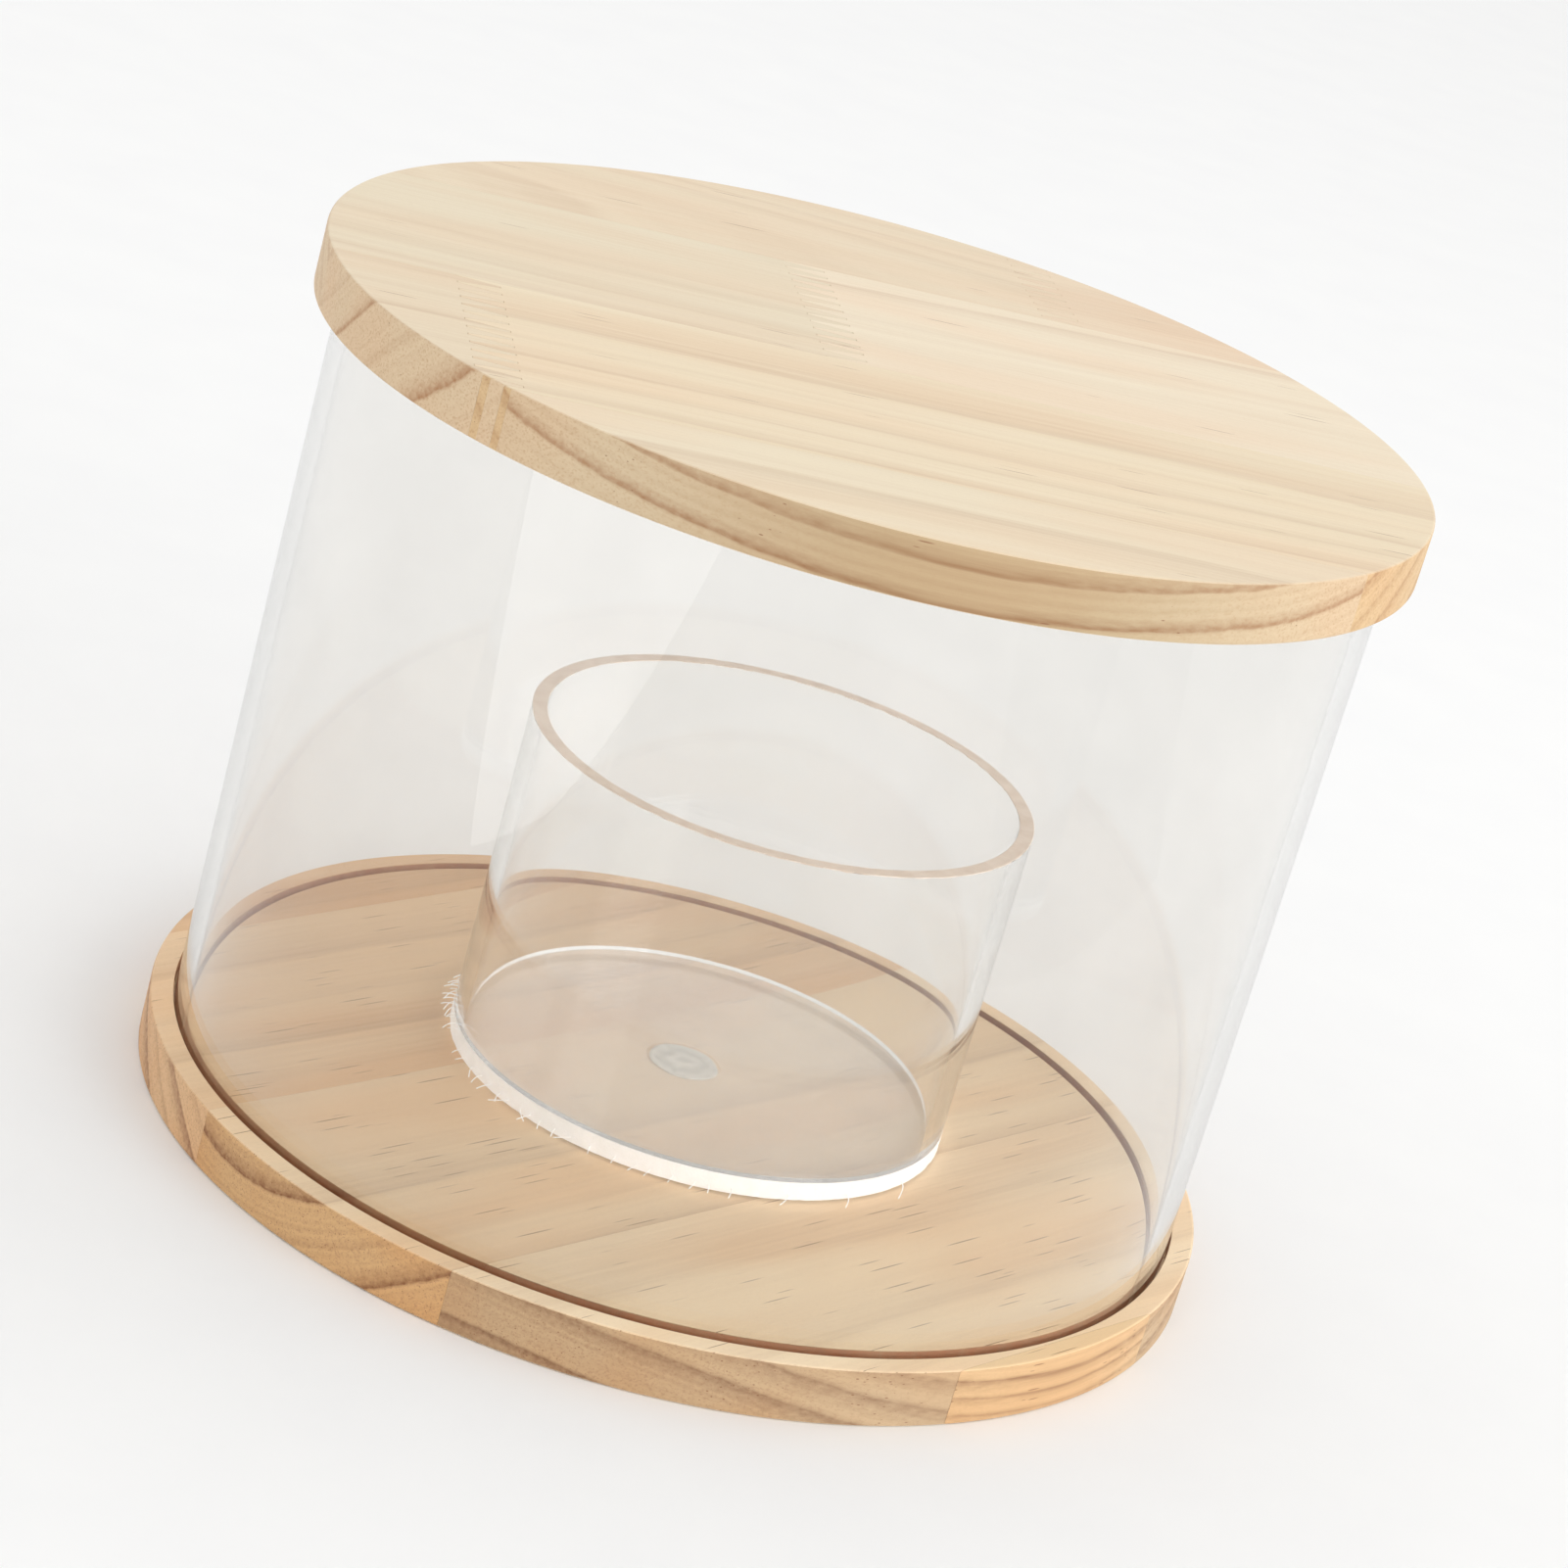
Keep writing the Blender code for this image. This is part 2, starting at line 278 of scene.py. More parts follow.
def pine(name, board, wood, grain_deg, top, seed, groove):
    """Solid pine with growth rings, fibres, resin flecks, end grain and painted shade in its groove."""
    shader = Shader(name)
    place = shader.node("TexCoord").outputs["Object"]
    inputs = {
        "Vector": place,
        "Location": (0.0, 0.0, -top * 1000.0),
        "Rotation": (0.0, 0.0, -math.radians(grain_deg)),
        "Scale": (1000.0, 1000.0, 1000.0),
    }
    grain = shader.node("Mapping", inputs).outputs[0]
    along, across, height = shader.node("SeparateXYZ", {0: grain}).outputs
    moved = shader.vector("ADD", grain, (seed * 371.3, seed * 113.7, seed * 57.1))

    def stretched(length, width):
        return shader.vector("MULTIPLY", moved, (1.0 / length, 1.0 / width, 1.0 / width))

    # Growth rings: distance from a pith line that wanders slowly along the grain.
    wander = shader.noise(stretched(90.0, 40.0), detail=1.0).outputs["Color"]
    wander = shader.vector("SUBTRACT", wander, (0.5, 0.5, 0.5))
    wander = shader.node("SeparateXYZ", {0: shader.vector("MULTIPLY", wander, RING_WANDER_MM)}).outputs
    ripple = shader.noise(stretched(22.0, 2.2), detail=2.0).outputs[0]
    pith_across, pith_height = board["pith"]
    drift_across, drift_height = board.get("drift", (0.0, 0.0))
    line_across = shader.math("MULTIPLY_ADD", along, drift_across, float(pith_across))
    line_height = shader.math("MULTIPLY_ADD", along, drift_height, float(pith_height))
    from_across = shader.math("ADD", shader.math("SUBTRACT", across, line_across), wander[1])
    from_height = shader.math("ADD", shader.math("SUBTRACT", height, line_height), wander[2])
    radius = shader.vector("LENGTH", shader.join(from_across, from_height, 0.0))
    radius = shader.math("ADD", radius, shader.remap(ripple, 0.0, 1.0, -RING_RIPPLE_MM, RING_RIPPLE_MM))
    late = ring_ramp(shader, radius, board["bands"])

    # Fine lines that follow the rings, and fibres that follow the grain.
    counted = shader.math("MULTIPLY_ADD", radius, LINE_PITCH, seed * 7.0)
    lines = shader.node("TexNoise", {"W": counted}, noise_dimensions="1D")
    lines.inputs["Scale"].default_value = 1.0
    lines.inputs["Detail"].default_value = 3.0
    streaks = shader.noise(stretched(55.0, 0.9), detail=3.0).outputs[0]
    fibres = shader.noise(stretched(9.0, 0.16), detail=2.0).outputs[0]
    broken = shader.math("MULTIPLY", late, shader.remap(streaks, 0.3, 0.7, 0.72, 1.2))
    tone = shader.math("MULTIPLY_ADD", shader.math("SUBTRACT", lines.outputs[0], 0.5), LINE_SHARE, broken)
    tone = shader.math("MULTIPLY_ADD", shader.math("SUBTRACT", streaks, 0.5), STREAK_SHARE, tone)
    tone = shader.math("MULTIPLY_ADD", shader.math("SUBTRACT", fibres, 0.5), FIBRE_SHARE, tone)
    normal = shader.node("NewGeometry").outputs["Normal"]
    flat = shader.math("ABSOLUTE", shader.node("SeparateXYZ", {0: normal}).outputs[2])
    tone = shader.math("ADD", tone, LATE_FLOOR)
    shown = shader.remap(flat, *FACING_UP, wood["rim"], wood["face"])
    tone = shader.math("MULTIPLY", tone, shown, clamp=True)
    warmth = shader.noise(stretched(80.0, 18.0), detail=1.0).outputs[0]
    early = shader.mix(shader.remap(warmth, 0.4, 0.65), linear(*board["tone"]), wood["warm"], "MULTIPLY")
    color = shader.mix(tone, early, wood["late"])

    # The rim's tint, partly the board's own tone and partly painted shade on the side faces, which fades
    # where the rim cuts across the grain.
    turn = math.radians(grain_deg)
    facing = shader.vector("DOT_PRODUCT", normal, (math.cos(turn), math.sin(turn), 0.0))
    end = shader.remap(shader.math("ABSOLUTE", facing), *END_GRAIN, smooth=True)
    kept = shader.remap(end, 0.0, 1.0, 1.0, 1.0 - board.get("side_fade", 0.0))
    side = shader.math("MULTIPLY", shader.remap(flat, *FACING_UP, 1.0, 0.0), kept)
    color = shader.mix(side, color, linear(*board.get("side", (255, 255, 255))), "MULTIPLY")

    # Short resin flecks along the grain. On a rim across the grain they show as pores.
    cells = shader.node("TexVoronoi", {"Vector": stretched(FLECK_LENGTH_MM, FLECK_WIDTH_MM), "Scale": 1.0})
    chance = shader.node("SeparateColor", {0: cells.outputs["Color"]}).outputs
    picked = shader.math("LESS_THAN", chance[0], wood["flecks"])
    size = shader.math("MULTIPLY_ADD", chance[1], FLECK_SIZE[1], FLECK_SIZE[0])
    fleck = shader.math("DIVIDE", cells.outputs["Distance"], size)
    fleck = shader.remap(fleck, 0.75, 1.15, 1.0, 0.0)
    fleck = shader.math("MULTIPLY", shader.math("MULTIPLY", fleck, picked), FLECK_STRENGTH)
    color = shader.mix(fleck, color, FLECK_COLOR)

    # End grain: a little darker, with open pores.
    pores = shader.noise(stretched(0.9, 0.42), detail=2.0).outputs[0]
    share = shader.math("MULTIPLY_ADD", end, PORE_SHARE[1], PORE_SHARE[0])
    pore = shader.math("MULTIPLY", shader.remap(pores, 0.52, 0.68), share)
    color = shader.mix(shader.math("MULTIPLY", end, END_SHADE), color, END_COLOR, "MULTIPLY")
    color = shader.mix(pore, color, wood["late"])

    # The groove's walls, darker brown below the opening: painted shade in the recess.
    cut_in, cut_out, opening, floor = groove
    reach = shader.vector("LENGTH", shader.vector("MULTIPLY", place, (1000.0, 1000.0, 0.0)))
    half_width = (cut_out - cut_in) / 2.0 + GROOVE_SHADE_EDGE_MM
    inside = shader.math("COMPARE", reach, (cut_in + cut_out) / 2.0, half_width)
    middle = (opening + floor) / 2.0
    depth = shader.math("ABSOLUTE", shader.math("SUBTRACT", height, middle))
    half_depth = abs(opening - middle)
    below = shader.remap(depth, half_depth - GROOVE_SHADE_EDGE_MM, half_depth - GROOVE_SHADE_FADE_MM)
    groove_shade_noise = shader.noise(shader.vector("MULTIPLY", place, (420.0, 420.0, 90.0)), detail=2.0).outputs[0]
    groove_shade = shader.math("MULTIPLY", inside, below)
    groove_shade = shader.math("MULTIPLY", groove_shade, shader.remap(groove_shade_noise, 0.3, 0.7, 0.55, 0.9))
    color = shader.mix(groove_shade, color, GROOVE_SHADE_COLOR)

    # Sanded surface.
    grit = shader.noise(place, scale=GRIT_SCALE, detail=2.0).outputs[0]
    open_pores = shader.math("MULTIPLY_ADD", end, 1.0, 0.12)
    relief = shader.math("MULTIPLY_ADD", pores, open_pores, shader.math("MULTIPLY", grit, 0.35))
    relief = shader.math("SUBTRACT", relief, shader.math("MULTIPLY", fleck, 0.6))
    relief = shader.math("ADD", relief, shader.math("MULTIPLY", fibres, 0.35))
    bump = shader.node("Bump", {"Height": relief, "Strength": WOOD_BUMP, "Distance": WOOD_BUMP_DEPTH})
    inputs = {
        "Base Color": color,
        "Roughness": shader.remap(streaks, 0.3, 0.7, 0.50, 0.66),
        "Normal": bump.outputs[0],
        "Specular IOR Level": WOOD_SPECULAR,
    }
    return shader.finish(shader.node("BsdfPrincipled", inputs).outputs[0])


# ---------------------------------------------------------------- acrylic, gel and stage materials


LAMP_TINT = linear(253, 253, 253)
ACRYLIC_IOR = 1.49
WETTED_ROUGHNESS = 0.02
SPOT_EDGE = 0.03


def acrylic(name, tint, other_tint, haze=(0.0, 0.03), transmission=1.0, clear_spot=None):
    """Clear cast acrylic with faint handling marks. Lamps shine through it."""
    shader = Shader(name)
    place = shader.node("TexCoord").outputs["Object"]
    marks = shader.noise(place, scale=45.0, detail=4.0).outputs[0]
    color = shader.mix(shader.remap(marks, 0.35, 0.65), linear(*tint), linear(*other_tint))
    rough = shader.remap(marks, 0.45, 0.75, haze[0], haze[1])
    inputs = {
        "Base Color": color,
        "Roughness": rough,
        "IOR": ACRYLIC_IOR,
        "Transmission Weight": transmission,
    }
    surface = shader.node("BsdfPrincipled", inputs).outputs[0]
    if clear_spot:
        clear = dict(inputs, **{"Transmission Weight": 1.0, "Roughness": WETTED_ROUGHNESS})
        wetted = shader.node("BsdfPrincipled", clear).outputs[0]
        centre, reach = clear_spot
        away = shader.vector("LENGTH", shader.vector("SUBTRACT", place, centre))
        inside = shader.remap(away, reach * (1.0 - SPOT_EDGE), reach * (1.0 + SPOT_EDGE), 1.0, 0.0)
        surface = shader.node("MixShader", {0: inside, 1: surface, 2: wetted}).outputs[0]
    lamp = shader.node("LightPath").outputs["Is Shadow Ray"]
    through = shader.node("BsdfTransparent", {"Color": LAMP_TINT}).outputs[0]
    return shader.finish(shader.node("MixShader", {0: lamp, 1: surface, 2: through}).outputs[0])


def sawn_acrylic(name, light, dark, rough, painted_glow=0.0):
    """Acrylic left rough from the saw: it scatters light. It can carry a faint painted glow, an emission
    that stands in for the light the sheet pipes to its edge.
    """
    shader = Shader(name)
    place = shader.node("TexCoord").outputs["Object"]
    fine = shader.noise(place, scale=2400.0, detail=3.0).outputs[0]
    coarse = shader.noise(place, scale=320.0, detail=2.0).outputs[0]
    color = shader.mix(shader.remap(coarse, 0.35, 0.65), linear(*light), linear(*dark))
    relief = shader.math("ADD", fine, coarse)
    bump = shader.node("Bump", {"Height": relief, "Strength": 0.6, "Distance": 0.0002})
    inputs = {
        "Base Color": color,
        "Roughness": shader.remap(fine, 0.3, 0.7, rough - 0.1, rough + 0.1),
        "Normal": bump.outputs[0],
        "Emission Color": (1.0, 1.0, 1.0, 1.0),
        "Emission Strength": painted_glow,
    }
    return shader.finish(shader.node("BsdfPrincipled", inputs).outputs[0])


def gel(name, centre):
    """A cloudy soft dot, with the swirl it was squeezed out in."""
    shader = Shader(name)
    place = shader.node("TexCoord").outputs["Object"]
    local = shader.vector("SUBTRACT", place, centre)
    twist = shader.noise(local, scale=260.0, detail=3.0).outputs[0]
    away = shader.vector("LENGTH", local)
    phase = shader.math("MULTIPLY_ADD", away, 1500.0, shader.math("MULTIPLY", twist, 9.0))
    swirl = shader.math("SINE", phase)
    color = shader.mix(shader.remap(swirl, -1.0, 1.0), linear(206, 205, 198), linear(232, 231, 225))
    bump = shader.node("Bump", {"Height": swirl, "Strength": 0.3, "Distance": 0.0002})
    inputs = {
        "Base Color": color,
        "Roughness": shader.remap(twist, 0.3, 0.7, 0.25, 0.45),
        "Normal": bump.outputs[0],
    }
    return shader.finish(shader.node("BsdfPrincipled", inputs).outputs[0])


def paper(name):
    """The plain pale floor."""
    shader = Shader(name)
    place = shader.node("TexCoord").outputs["Object"]
    grain = shader.noise(place, scale=30.0, detail=3.0).outputs[0]
    color = shader.mix(grain, linear(243, 243, 243), linear(247, 247, 246))
    inputs = {"Base Color": color, "Roughness": 0.9, "Specular IOR Level": 0.0}
    return shader.finish(shader.node("BsdfPrincipled", inputs).outputs[0])


# ---------------------------------------------------------------- mesh helpers


def add_object(name, editor, materials):
    """Turn a finished bmesh into a named object."""
    bmesh.ops.recalc_face_normals(editor, faces=editor.faces)
    mesh = bpy.data.meshes.new(name)
    editor.to_mesh(mesh)
    editor.free()
    for material in materials:
        mesh.materials.append(material)
    item = bpy.data.objects.new(name, mesh)
    bpy.context.scene.collection.objects.link(item)
    return item


def smooth(item, degrees=6.0):
    """Shade round faces smooth, and keep the edges that are sharper than the angle."""
    item.data.shade_smooth()
    item.data.set_sharp_from_angle(angle=math.radians(degrees))


def turn(points, closed, steps):
    """Spin an outline of (radius, height) points around +Z, and cap the ends of an open one."""
    editor = bmesh.new()
    verts = [editor.verts.new((radius, 0.0, height)) for radius, height in points]
    edges = [editor.edges.new(pair) for pair in zip(verts, verts[1:])]
    if closed:
        edges.append(editor.edges.new((verts[-1], verts[0])))
    bmesh.ops.spin(
        editor,
        geom=verts + edges,
        cent=(0.0, 0.0, 0.0),
        axis=(0.0, 0.0, 1.0),
        angle=math.tau,
        steps=steps,
        use_merge=True,
    )
    if not closed:
        open_edges = [edge for edge in editor.edges if edge.is_boundary]
        bmesh.ops.edgeloop_fill(editor, edges=open_edges)
    return editor


def rounded(corners, steps=3):
    """An outline whose corners (radius, height, rounding) are replaced by small arcs."""
    points = []
    count = len(corners)
    for index, (r, z, bend) in enumerate(corners):
        here = Vector((r, z))
        if bend == 0.0:
            points.append((r, z))
            continue
        before = Vector(corners[index - 1][:2])
        after = Vector(corners[(index + 1) % count][:2])
        start = here + (before - here).normalized() * bend
        end = here + (after - here).normalized() * bend
        for step in range(steps + 1):
            part = step / steps
            middle = (1 - part) ** 2 * start + 2 * part * (1 - part) * here + part ** 2 * end
            points.append((middle.x, middle.y))
    return points


def finger_edge(low, high, place, radius, squeeze):
    """The zigzag of a finger joint across one stave, as (along, across) points from low to high.

    A squeeze above zero moves every flank towards the tips on the inner side, which leaves the glue's width.
    """
    outer = place + math.copysign(FINGER_LENGTH / 2.0, place)
    inner = place - math.copysign(FINGER_LENGTH / 2.0, place)
    start = max(low, -radius)
    width = min(high, radius) - start
    count = max(1, round(width / FINGER_PITCH))
    pitch = width / count
    half = FINGER_TIP / 2.0
    points = [(outer, low)]
    for index in range(count):
        root = start + pitch * index
        middle = root + pitch / 2.0
        points.append((outer, root + half + squeeze))
        points.append((inner, middle - half + squeeze))
        points.append((inner, middle + half - squeeze))
        points.append((outer, root + pitch - half - squeeze))
    points.append((outer, high))
    return points


def prism(outline, bottom, top):
    """A stave's outline, extruded to pass both faces of its disc."""
    editor = bmesh.new()
    verts = [editor.verts.new((along, across, bottom - PAST_EDGE)) for along, across in outline]
    face = editor.faces.new(verts)
    extruded = bmesh.ops.extrude_face_region(editor, geom=[face])
    moved = [part for part in extruded["geom"] if isinstance(part, bmesh.types.BMVert)]
    bmesh.ops.translate(editor, verts=moved, vec=(0.0, 0.0, top - bottom + 2.0 * PAST_EDGE))
    return editor


def cut_board(name, outline, disc, material):
    """One board: its outline, trimmed by the whole disc, with the grain direction turned in."""
    board = add_object(name, prism(outline, disc["bottom"], disc["top"]), [material])
    board.data.transform(Matrix.Rotation(math.radians(disc["grain"]), 4, "Z"))
    trim = board.modifiers.new("disc", "BOOLEAN")
    trim.operation = "INTERSECT"
    trim.solver = "EXACT"
    trim.object = disc["blank"]
    bpy.context.view_layer.update()
    evaluated = board.evaluated_get(bpy.context.evaluated_depsgraph_get())
    mesh = bpy.data.meshes.new_from_object(evaluated)
    board.modifiers.clear()
    board.data = mesh
    mesh.name = name
    mesh.materials.clear()
    mesh.materials.append(material)
    for polygon in mesh.polygons:
        polygon.material_index = 0
    smooth(board)
    return board


def make_disc(kind, grain, lines, wood, opens_up):
    """The measures of one wooden disc, and the whole disc that its boards are trimmed to."""
    nodes = [name for name in NODES if name.startswith(kind + "_stave")]
    boxes = [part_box(name) for name in nodes]
    bottom = min(box[0].z for box in boxes)
    top = max(box[1].z for box in boxes)
    radius = max(box[1].x for box in boxes)
    tube_low, tube_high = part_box("cover_tube")
    groove_in = tube_high.x - TUBE_WALL - GROOVE_CLEARANCE
    groove_out = tube_high.x + GROOVE_CLEARANCE
    floor = tube_low.z - GROOVE_SEAT if opens_up else tube_high.z + GROOVE_SEAT
    face = top if opens_up else bottom
    back = bottom if opens_up else top
    corners = [
        (0.0, back, 0.0),
        (radius, back, ARRIS),
        (radius, face, ARRIS),
        (groove_out, face, GROOVE_ARRIS),
        (groove_out, floor, GROOVE_ARRIS),
        (groove_in, floor, GROOVE_ARRIS),
        (groove_in, face, GROOVE_ARRIS),
        (0.0, face, 0.0),
    ]
    outline = rounded(corners)[1:-1]
    blank = add_object(kind + "_blank", turn(outline, False, DISC_STEPS), [])
    blank.hide_render = True
    groove = (groove_in * 1000.0, groove_out * 1000.0, (face - top) * 1000.0, (floor - top) * 1000.0)
    return dict(
        kind=kind,
        grain=grain,
        lines=lines,
        wood=wood,
        bottom=bottom,
        top=top,
        radius=radius,
        blank=blank,
        groove=groove,
    )


def make_boards(disc):
    """Every board of one disc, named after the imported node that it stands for."""
    radius = disc["radius"]
    reach = radius + PAST_EDGE
    half = GLUE_GAP / 2.0
    lows = [-reach] + [line + half for line in disc["lines"]]
    highs = [line - half for line in disc["lines"]] + [reach]
    outlines = {}
    for number, (low, high) in enumerate(zip(lows, highs), start=1):
        name = f"{disc['kind']}_stave_{number}"
        if disc["kind"] == "lid" and number in LID_JOINTS:
            joint = LID_JOINTS[number]
            for side, sign in (("_left", -1.0), ("_right", 1.0)):
                squeeze = math.copysign(FINGER_SIDE_GAP / 2.0, joint * sign)
                edge = finger_edge(low, high, joint, radius, squeeze)
                gap = sign * FINGER_END_GAP / 2.0
                outline = [(u + gap, v) for u, v in edge]
                outlines[name + side] = [(sign * reach, low)] + outline + [(sign * reach, high)]
        else:
            outlines[name] = [(-reach, low), (reach, low), (reach, high), (-reach, high)]
    for number, (name, outline) in enumerate(outlines.items(), start=1):
        seed = float(number)
        wood = (disc["wood"], disc["grain"], disc["top"])
        material = pine(name + "_pine", BOARDS[name], *wood, seed, disc["groove"])
        piece = cut_board(name + "_board", outline, disc, material)
        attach(piece, disc["kind"])
        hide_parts(name)


# ---------------------------------------------------------------- acrylic pieces

CUP_WALL = 0.003
TUBE_EASING = 0.0003
CUP_EASING = 0.0002
CUP_SEAT = 0.00022
CHIP_DEPTH = 0.00012
CHIP_SCALE = 900.0
CHIP_THRESHOLD = 0.12
SAWN_ROWS = 6
SAWN_BEVEL = 0.0001
SAWN_FINE = (700.0, 0.00012)
SAWN_COARSE = (160.0, 0.0001)
# Painted glow on the sawn floor edge and its fibres: an emission that stands in for light piped through the
# acrylic.
PAINTED_EDGE_GLOW = 0.14
SWARF_RADIUS = 0.00011
SWARF_STEPS = 8
SWARF_SIDES = 5
SWARF_HIGH_UNTIL_DEG = 205
SWARF_BELOW_TOP = 0.0006
SWARF_ABOVE_BOTTOM = 0.0010
SWARF_SAG = 0.0012
SWARF_ANGLES_DEG = (
    (166, 168, 170, 171, 173, 175, 176, 178, 180, 181, 183, 185, 187, 188, 190, 193, 195, 198, 201)
    + (206, 210, 214, 218, 222, 226, 229, 233, 236, 239, 243, 247, 252, 258, 263, 266, 271, 276)
    + (279, 284, 297, 312, 330)
)


def make_tube(name, node, wall, bend, materials, chips=0.0, reach_down=0.0):
    """A clear tube with eased edges. Chips nibble its upper edge, and reach_down seats it in its floor."""
    low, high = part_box(node)
    centre = (low + high) / 2.0
    outer = (high.x - low.x) / 2.0
    inner = outer - wall
    bottom = low.z - reach_down
    foot = 0.0 if reach_down else bend
    corners = [(inner, bottom, foot), (outer, bottom, foot), (outer, high.z, bend), (inner, high.z, bend)]
    editor = turn(rounded(corners), True, DISC_STEPS)
    for vert in editor.verts:
        if chips and vert.co.z > high.z - bend * 1.01:
            place = vert.co * CHIP_SCALE
            bite = max(0.0, noise.noise(place) - CHIP_THRESHOLD) * chips
            vert.co.z -= bite
    for vert in editor.verts:
        vert.co.x += centre.x
        vert.co.y += centre.y
    if len(materials) > 1:
        for face in editor.faces:
            if all(vert.co.z > high.z - bend * 1.01 for vert in face.verts):
                face.material_index = 1
    item = add_object(name, editor, materials)
    smooth(item)
    return item


def make_cup_floor(materials):
    """The cup's floor: clear faces, and a rough sawn edge that stands a hair proud in places."""
    low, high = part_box("cup_floor")
    centre = (low + high) / 2.0
    radius = (high.x - low.x) / 2.0
    outline = [(radius - SAWN_BEVEL, low.z)]
    for row in range(SAWN_ROWS + 1):
        height = (high.z - low.z - 2.0 * SAWN_BEVEL) * row / SAWN_ROWS
        outline.append((radius, low.z + SAWN_BEVEL + height))
    outline.append((radius - SAWN_BEVEL, high.z))
    editor = turn(outline, False, 2 * DISC_STEPS)
    for face in editor.faces:
        if len(face.verts) == 4:
            face.material_index = 1
        elif face.calc_center_median().z < (low.z + high.z) / 2.0:
            face.material_index = 2
    for vert in editor.verts:
        away = Vector((vert.co.x, vert.co.y, 0.0))
        rough = sum(noise.noise(vert.co * scale) * depth for scale, depth in (SAWN_FINE, SAWN_COARSE))
        if away.length > radius - SAWN_BEVEL:
            vert.co += away.normalized() * rough
        vert.co.x += centre.x
        vert.co.y += centre.y
    item = add_object("cup_floor_disc", editor, materials)
    smooth(item)
    return item


def make_dot(material):
    """The gel dot: a flat blob with a thicker rolled edge."""
    low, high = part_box("cup_gel_dot")
    floor_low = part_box("cup_floor")[0].z
    centre = (low + high) / 2.0
    radius = (high.x - low.x) / 2.0
    top = floor_low - 0.00001
    bottom = low.z - 0.00005
    outline = [(radius * 0.93, bottom), (radius * 0.99, bottom + 0.0001), (radius, (bottom + top) / 2.0)]
    outline += [(radius * 0.98, top - 0.0001), (radius * 0.92, top)]
    editor = turn(outline, False, 96)
    for vert in editor.verts:
        angle = math.atan2(vert.co.y, vert.co.x)
        oval = 0.06 * (0.5 + 0.5 * math.sin(2.0 * angle + 0.6))
        lobes = 0.03 * (0.5 + 0.5 * math.sin(5.0 * angle))
        swell = 1.0 - oval - lobes
        vert.co.x = vert.co.x * swell + centre.x
        vert.co.y = vert.co.y * swell + centre.y
    item = add_object("cup_gel_dot_blob", editor, [material])
    smooth(item)
    return item


def thread(editor, path, radius):
    """A thin closed thread along a path of points."""
    rings = []
    for index, point in enumerate(path):
        ahead = path[min(index + 1, len(path) - 1)] - path[max(index - 1, 0)]
        across = ahead.orthogonal().normalized()
        up = ahead.cross(across).normalized()
        ring = []
        for side in range(SWARF_SIDES):
            angle = math.tau * side / SWARF_SIDES
            ring.append(editor.verts.new(point + (across * math.cos(angle) + up * math.sin(angle)) * radius))
        rings.append(ring)
    for first, second in zip(rings, rings[1:]):
        for side in range(SWARF_SIDES):
            other = (side + 1) % SWARF_SIDES
            editor.faces.new((first[side], first[other], second[other], second[side]))
    editor.faces.new(rings[0])
    editor.faces.new(rings[-1])


def make_swarf(material):
    """Fine white saw fibres that cling to the edge of the cup's floor."""
    low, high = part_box("cup_floor")
    centre = (low + high) / 2.0
    radius = (high.x - low.x) / 2.0
    editor = bmesh.new()
    for index, degrees in enumerate(SWARF_ANGLES_DEG):
        angle = math.radians(degrees)
        out = Vector((math.cos(angle), math.sin(angle), 0.0))
        around = Vector((-out.y, out.x, 0.0))
        upper = degrees < SWARF_HIGH_UNTIL_DEG
        height = high.z - SWARF_BELOW_TOP if upper else low.z + SWARF_ABOVE_BOTTOM
        start = Vector((centre.x, centre.y, height)) + out * (radius - SAWN_BEVEL)
        length = 0.0012 + 0.0016 * abs(noise.noise(Vector((index * 3.7, 0.4, 0.9))) * 2.0)
        curl = noise.noise(Vector((0.3, index * 5.1, 0.7))) * 3.0
        path = []
        for step in range(SWARF_STEPS + 1):
            part = step / SWARF_STEPS
            sag = Vector((0.0, 0.0, (0.3 - part) * SWARF_SAG * part))
            path.append(start + out * length * part + around * curl * length * part * part + sag)
        thread(editor, path, SWARF_RADIUS)
    item = add_object("cup_floor_swarf", editor, [material])
    smooth(item, 60.0)
    return item


# ---------------------------------------------------------------- stage, lights and camera


# Reflector cards on the table: their corners, and how bright they are next to the floor's 1.0.
CARD_HEIGHT = 0.0005
CARDS = (
    ("card_left", ((-0.60, -0.315), (-0.22, -0.197), (-0.198, -0.273), (-0.19, -0.60), (-0.60, -0.60)), 2.2),
    ("card_right", ((0.40, -0.55), (0.225, -0.194), (0.36, -0.05), (0.70, -0.20)), 0.70),
)
FLOOR_HALF_SIZE = 9.0
FLOOR_DROP = 0.0002
LIGHT_BOUNCES = 28
HORIZON_LIGHT = 1.60
ZENITH_LIGHT = 0.67
SIDE_LIGHT = (0.86, 1.14)
SIDE_DIRECTION = (0.85, 0.10, 0.0)
LIGHT_TARGET = (0.0, 0.0, 0.08)

# Soft lights: name, place, width of the square, watts.
SOFTBOXES = (
    ("key", (1.55, -1.0, 0.75), 1.1, 11.0),
    ("overhead", (0.2, 0.3, 1.9), 1.6, 2.0),
)


def add_softbox(name, place, size, watts):
    """A square soft light that faces the object and doesn't show itself."""
    lamp = bpy.data.lights.new(name, "AREA")
    lamp.shape = "RECTANGLE"
    lamp.size = size
    lamp.size_y = size
    lamp.energy = watts
    item = bpy.data.objects.new(name, lamp)
    item.location = place
    item.rotation_euler = (Vector(LIGHT_TARGET) - Vector(place)).to_track_quat("-Z", "Y").to_euler()
    item.visible_camera = False
    bpy.context.scene.collection.objects.link(item)


def card_material(name, brightness):
    """A lit card that the acrylic mirrors, a little uneven like a real one."""
    shader = Shader(name)
    place = shader.node("TexCoord").outputs["Object"]
    cloud = shader.noise(place, scale=6.0, detail=1.0).outputs[0]
    strength = shader.remap(cloud, 0.3, 0.7, brightness * 0.93, brightness * 1.07)
    return shader.finish(shader.node("Emission", {"Strength": strength}).outputs[0])


